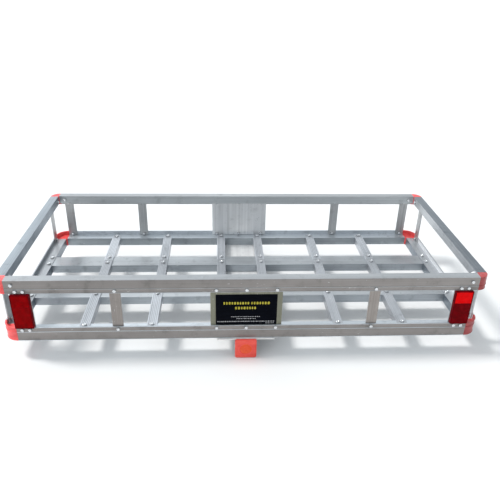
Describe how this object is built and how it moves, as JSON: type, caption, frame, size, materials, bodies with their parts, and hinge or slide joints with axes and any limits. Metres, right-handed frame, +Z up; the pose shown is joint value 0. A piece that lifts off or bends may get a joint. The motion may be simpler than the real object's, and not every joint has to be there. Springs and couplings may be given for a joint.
{
  "type": "hitch cargo carrier",
  "caption": "Hitch-mounted aluminium cargo basket with a slatted deck, a raised bolted rail and red corners and reflectors.",
  "frame": {"origin": "centre of the hitch pin bore, on the middle of the hitch tube", "axes": "+X to the right along the basket's long side, +Y along the hitch tube towards the vehicle, +Z up"},
  "size_m": [1.2496, 0.862, 0.2359],
  "materials": {
    "rail_aluminium": "extruded mill finish, brushed along its length",
    "beam_aluminium": "extruded mill finish, brushed along its length",
    "slat_aluminium": "extruded mill finish with lengthwise grooves",
    "upright_aluminium": "extruded flat bar, satin",
    "plate_aluminium": "sheet, brushed upright",
    "mount_plate_aluminium": "plate, mill finish",
    "hitch_tube_aluminium": "extruded square tube, mill finish",
    "tongue_aluminium": "sawn block",
    "corner_plastic": "translucent red moulding",
    "cap_plastic": "red moulding",
    "reflector_red": "red prismatic reflector lens",
    "label_black": "printed film",
    "zinc_fastener": "zinc plated"
  },
  "bodies": {
    "root": {"upper_rail_rear": "rail_aluminium", "upper_rail_front": "rail_aluminium", "upper_rail_left": "rail_aluminium", "upper_rail_right": "rail_aluminium", "lower_rail_rear": "rail_aluminium", "lower_rail_front": "rail_aluminium", "lower_rail_left": "rail_aluminium", "lower_rail_right": "rail_aluminium", "upper_corner_rear_left": "corner_plastic", "upper_corner_rear_right": "corner_plastic", "upper_corner_front_left": "corner_plastic", "upper_corner_front_right": "corner_plastic", "lower_corner_rear_left": "corner_plastic", "lower_corner_rear_right": "corner_plastic", "lower_corner_front_left": "corner_plastic", "lower_corner_front_right": "corner_plastic", "deck_beam_rear": "beam_aluminium", "deck_beam_front": "beam_aluminium", "beam_end_tongues": "tongue_aluminium", "slat_rear_l3": "slat_aluminium", "slat_rear_l2": "slat_aluminium", "slat_rear_l1": "slat_aluminium", "slat_rear_r1": "slat_aluminium", "slat_rear_r2": "slat_aluminium", "slat_rear_r3": "slat_aluminium", "slat_mid_l3": "slat_aluminium", "slat_mid_l2": "slat_aluminium", "slat_mid_l1": "slat_aluminium", "slat_mid_r1": "slat_aluminium", "slat_mid_r2": "slat_aluminium", "slat_mid_r3": "slat_aluminium", "slat_front_l3": "slat_aluminium", "slat_front_l2": "slat_aluminium", "slat_front_l1": "slat_aluminium", "slat_front_r1": "slat_aluminium", "slat_front_r2": "slat_aluminium", "slat_front_r3": "slat_aluminium", "upright_rear_left": "upright_aluminium", "upright_rear_right": "upright_aluminium", "upright_front_left": "upright_aluminium", "upright_front_right": "upright_aluminium", "upright_front_corner_left": "upright_aluminium", "upright_front_corner_right": "upright_aluminium", "upright_left_rear": "upright_aluminium", "upright_left_front": "upright_aluminium", "upright_right_rear": "upright_aluminium", "upright_right_front": "upright_aluminium", "reflector_plate_left": "plate_aluminium", "reflector_plate_right": "plate_aluminium", "reflector_left": "reflector_red", "reflector_right": "reflector_red", "sign_plate": "plate_aluminium", "sign_label": "label_black", "front_plate": "plate_aluminium", "hitch_mount_plate": "mount_plate_aluminium", "hitch_tube": "hitch_tube_aluminium", "hitch_tube_cap": "cap_plastic", "frame_bolts": "zinc_fastener", "deck_bolts": "zinc_fastener", "hitch_plate_bolts": "zinc_fastener"}
  },
  "joints": []
}
